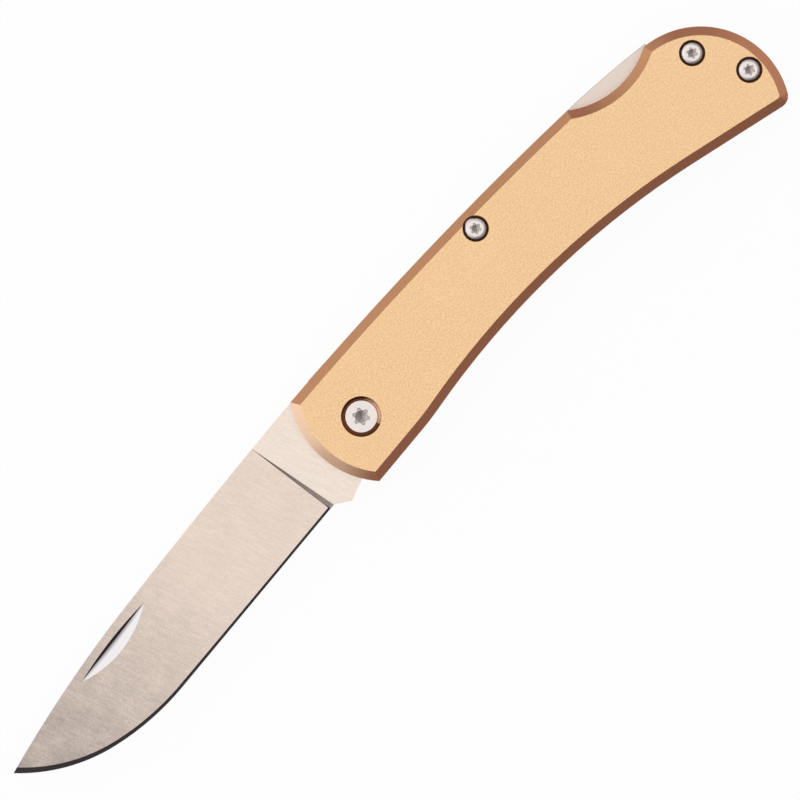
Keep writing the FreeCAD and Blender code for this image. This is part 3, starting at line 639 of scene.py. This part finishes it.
dress([f"{side}_scale" for side in SIDES], bronze)
dress(["blade"], steel)
dress(["lock_bar"], bar_steel, BAR_BREAK)
dress(["lock_spring"], spring_steel)
dress(["back_spacer"], spacer_steel)
dress([f"{side}_{place}_screw" for side in SIDES for place in SCREW_PLACES], screw_steel, SCREW_BREAK)
dress([f"{place}_barrel" for place in SCREW_PLACES], screw_steel)
dress([f"{side}_pivot_washer" for side in SIDES], washer_bronze)
print("dressed:", len(knife), "pieces")

# %% [markdown]
# ## The floor
# The knife lies on a plain white ground. A lit white floor would need so much light that the pale metal
# would clip. So the floor is mostly white by itself for the camera and in what the metal mirrors, and the
# small lit share keeps a soft shadow. It lies a hair below the knife, so that the two surfaces don't
# fight.

# %% Floor
FLOOR_REACH = 2.0
FLOOR_DROP = 0.02 * MM
FLOOR_WHITE = (0.9, 0.9, 0.9, 1.0)
FLOOR_GLOW = 0.95


def white_ground():
    """A material that is part lit and part white by itself where it is seen or mirrored."""
    finish = bpy.data.materials.new("pale_floor")
    finish.use_nodes = True
    tree = finish.node_tree
    tree.nodes.clear()
    path = put(tree, "LightPath")
    seen = calculate(tree, "MAXIMUM", path.outputs["Is Camera Ray"], path.outputs["Is Glossy Ray"])
    seen = calculate(tree, "MAXIMUM", seen, path.outputs["Is Transmission Ray"])
    lit = put(tree, "BsdfDiffuse", {"Color": FLOOR_WHITE})
    glow = put(tree, "Emission", {"Strength": 1.0})
    share = calculate(tree, "MULTIPLY", seen, FLOOR_GLOW)
    mixed = put(tree, "MixShader", {0: share, 1: lit.outputs[0], 2: glow.outputs[0]})
    put(tree, "OutputMaterial", {"Surface": mixed.outputs[0]})
    return finish


def pale_floor():
    """A wide square floor just below the knife."""
    mesh = bpy.data.meshes.new("floor")
    turns = ((-1, -1), (1, -1), (1, 1), (-1, 1))
    corners = [(x * FLOOR_REACH, y * FLOOR_REACH, -FLOOR_DROP) for x, y in turns]
    mesh.from_pydata(corners, [], [(0, 1, 2, 3)])
    floor = bpy.data.objects.new("floor", mesh)
    bpy.context.scene.collection.objects.link(floor)
    mesh.materials.append(white_ground())


pale_floor()
print("floor:", FLOOR_REACH * 2, "m wide")

# %% [markdown]
# ## The light
# A product picture of bright metal needs a bright room with one darker side: the metal only shows its
# shape by what it mirrors. Many lamps could do it, but they would show as spots in the metal. Here a
# large soft box hangs overhead, and the room itself glows: more at the roof, a little more above the
# picture than below it, and most at one wall beyond the blade, on the spine's side. The side of the
# cutting edge stays dark.

# %% Room
ROOM_LEVEL = 0.26
ROOF_LIFT = 0.42
FAR_LIFT = 0.20
FAR_WAY = Vector((0.743, 0.669, 0.0))
WALL_GLOW = 0.8
WALL_WAY = Vector((-0.788, 0.616, 0.0))
ROOM_WHITE = (1.0, 1.0, 1.0, 1.0)


def studio_room():
    """A plain room that is brighter at the roof and the far side, with one glowing wall."""
    world = bpy.data.worlds.new("studio_room")
    world.use_nodes = True
    tree = world.node_tree
    back = tree.nodes["Background"]
    look = put(tree, "TexCoord").outputs["Generated"]
    height = calculate(tree, "MAXIMUM", along(tree, look, UP), 0.0)
    to_wall = calculate(tree, "MAXIMUM", along(tree, look, WALL_WAY), 0.0)
    wall = calculate(tree, "POWER", to_wall, 2.0)
    strength = ROOM_LEVEL
    for share, lift in ((height, ROOF_LIFT), (along(tree, look, FAR_WAY), FAR_LIFT), (wall, WALL_GLOW)):
        strength = calculate(tree, "ADD", strength, calculate(tree, "MULTIPLY", share, lift))
    tree.links.new(strength, back.inputs["Strength"])
    back.inputs["Color"].default_value = ROOM_WHITE
    bpy.context.scene.world = world


studio_room()
print("room:", bpy.context.scene.world.name)

# %% Soft box
BOX_HEIGHT = 1.6
BOX_WIDTH = 3.0
BOX_OFFSET = Vector((-0.4, 0.8, 0.0))
BOX_RADIANCE = 0.46


def soft_box():
    """A large square light overhead, set towards the spine."""
    lamp = bpy.data.lights.new("soft_box", "AREA")
    lamp.shape = "SQUARE"
    lamp.size = BOX_WIDTH
    lamp.energy = BOX_RADIANCE * math.pi * BOX_WIDTH ** 2
    box = bpy.data.objects.new("soft_box", lamp)
    box.location = BOX_OFFSET + Vector((0, 0, BOX_HEIGHT))
    box.visible_camera = False
    bpy.context.scene.collection.objects.link(box)


soft_box()
print("soft box in W:", round(bpy.data.lights["soft_box"].energy, 1))
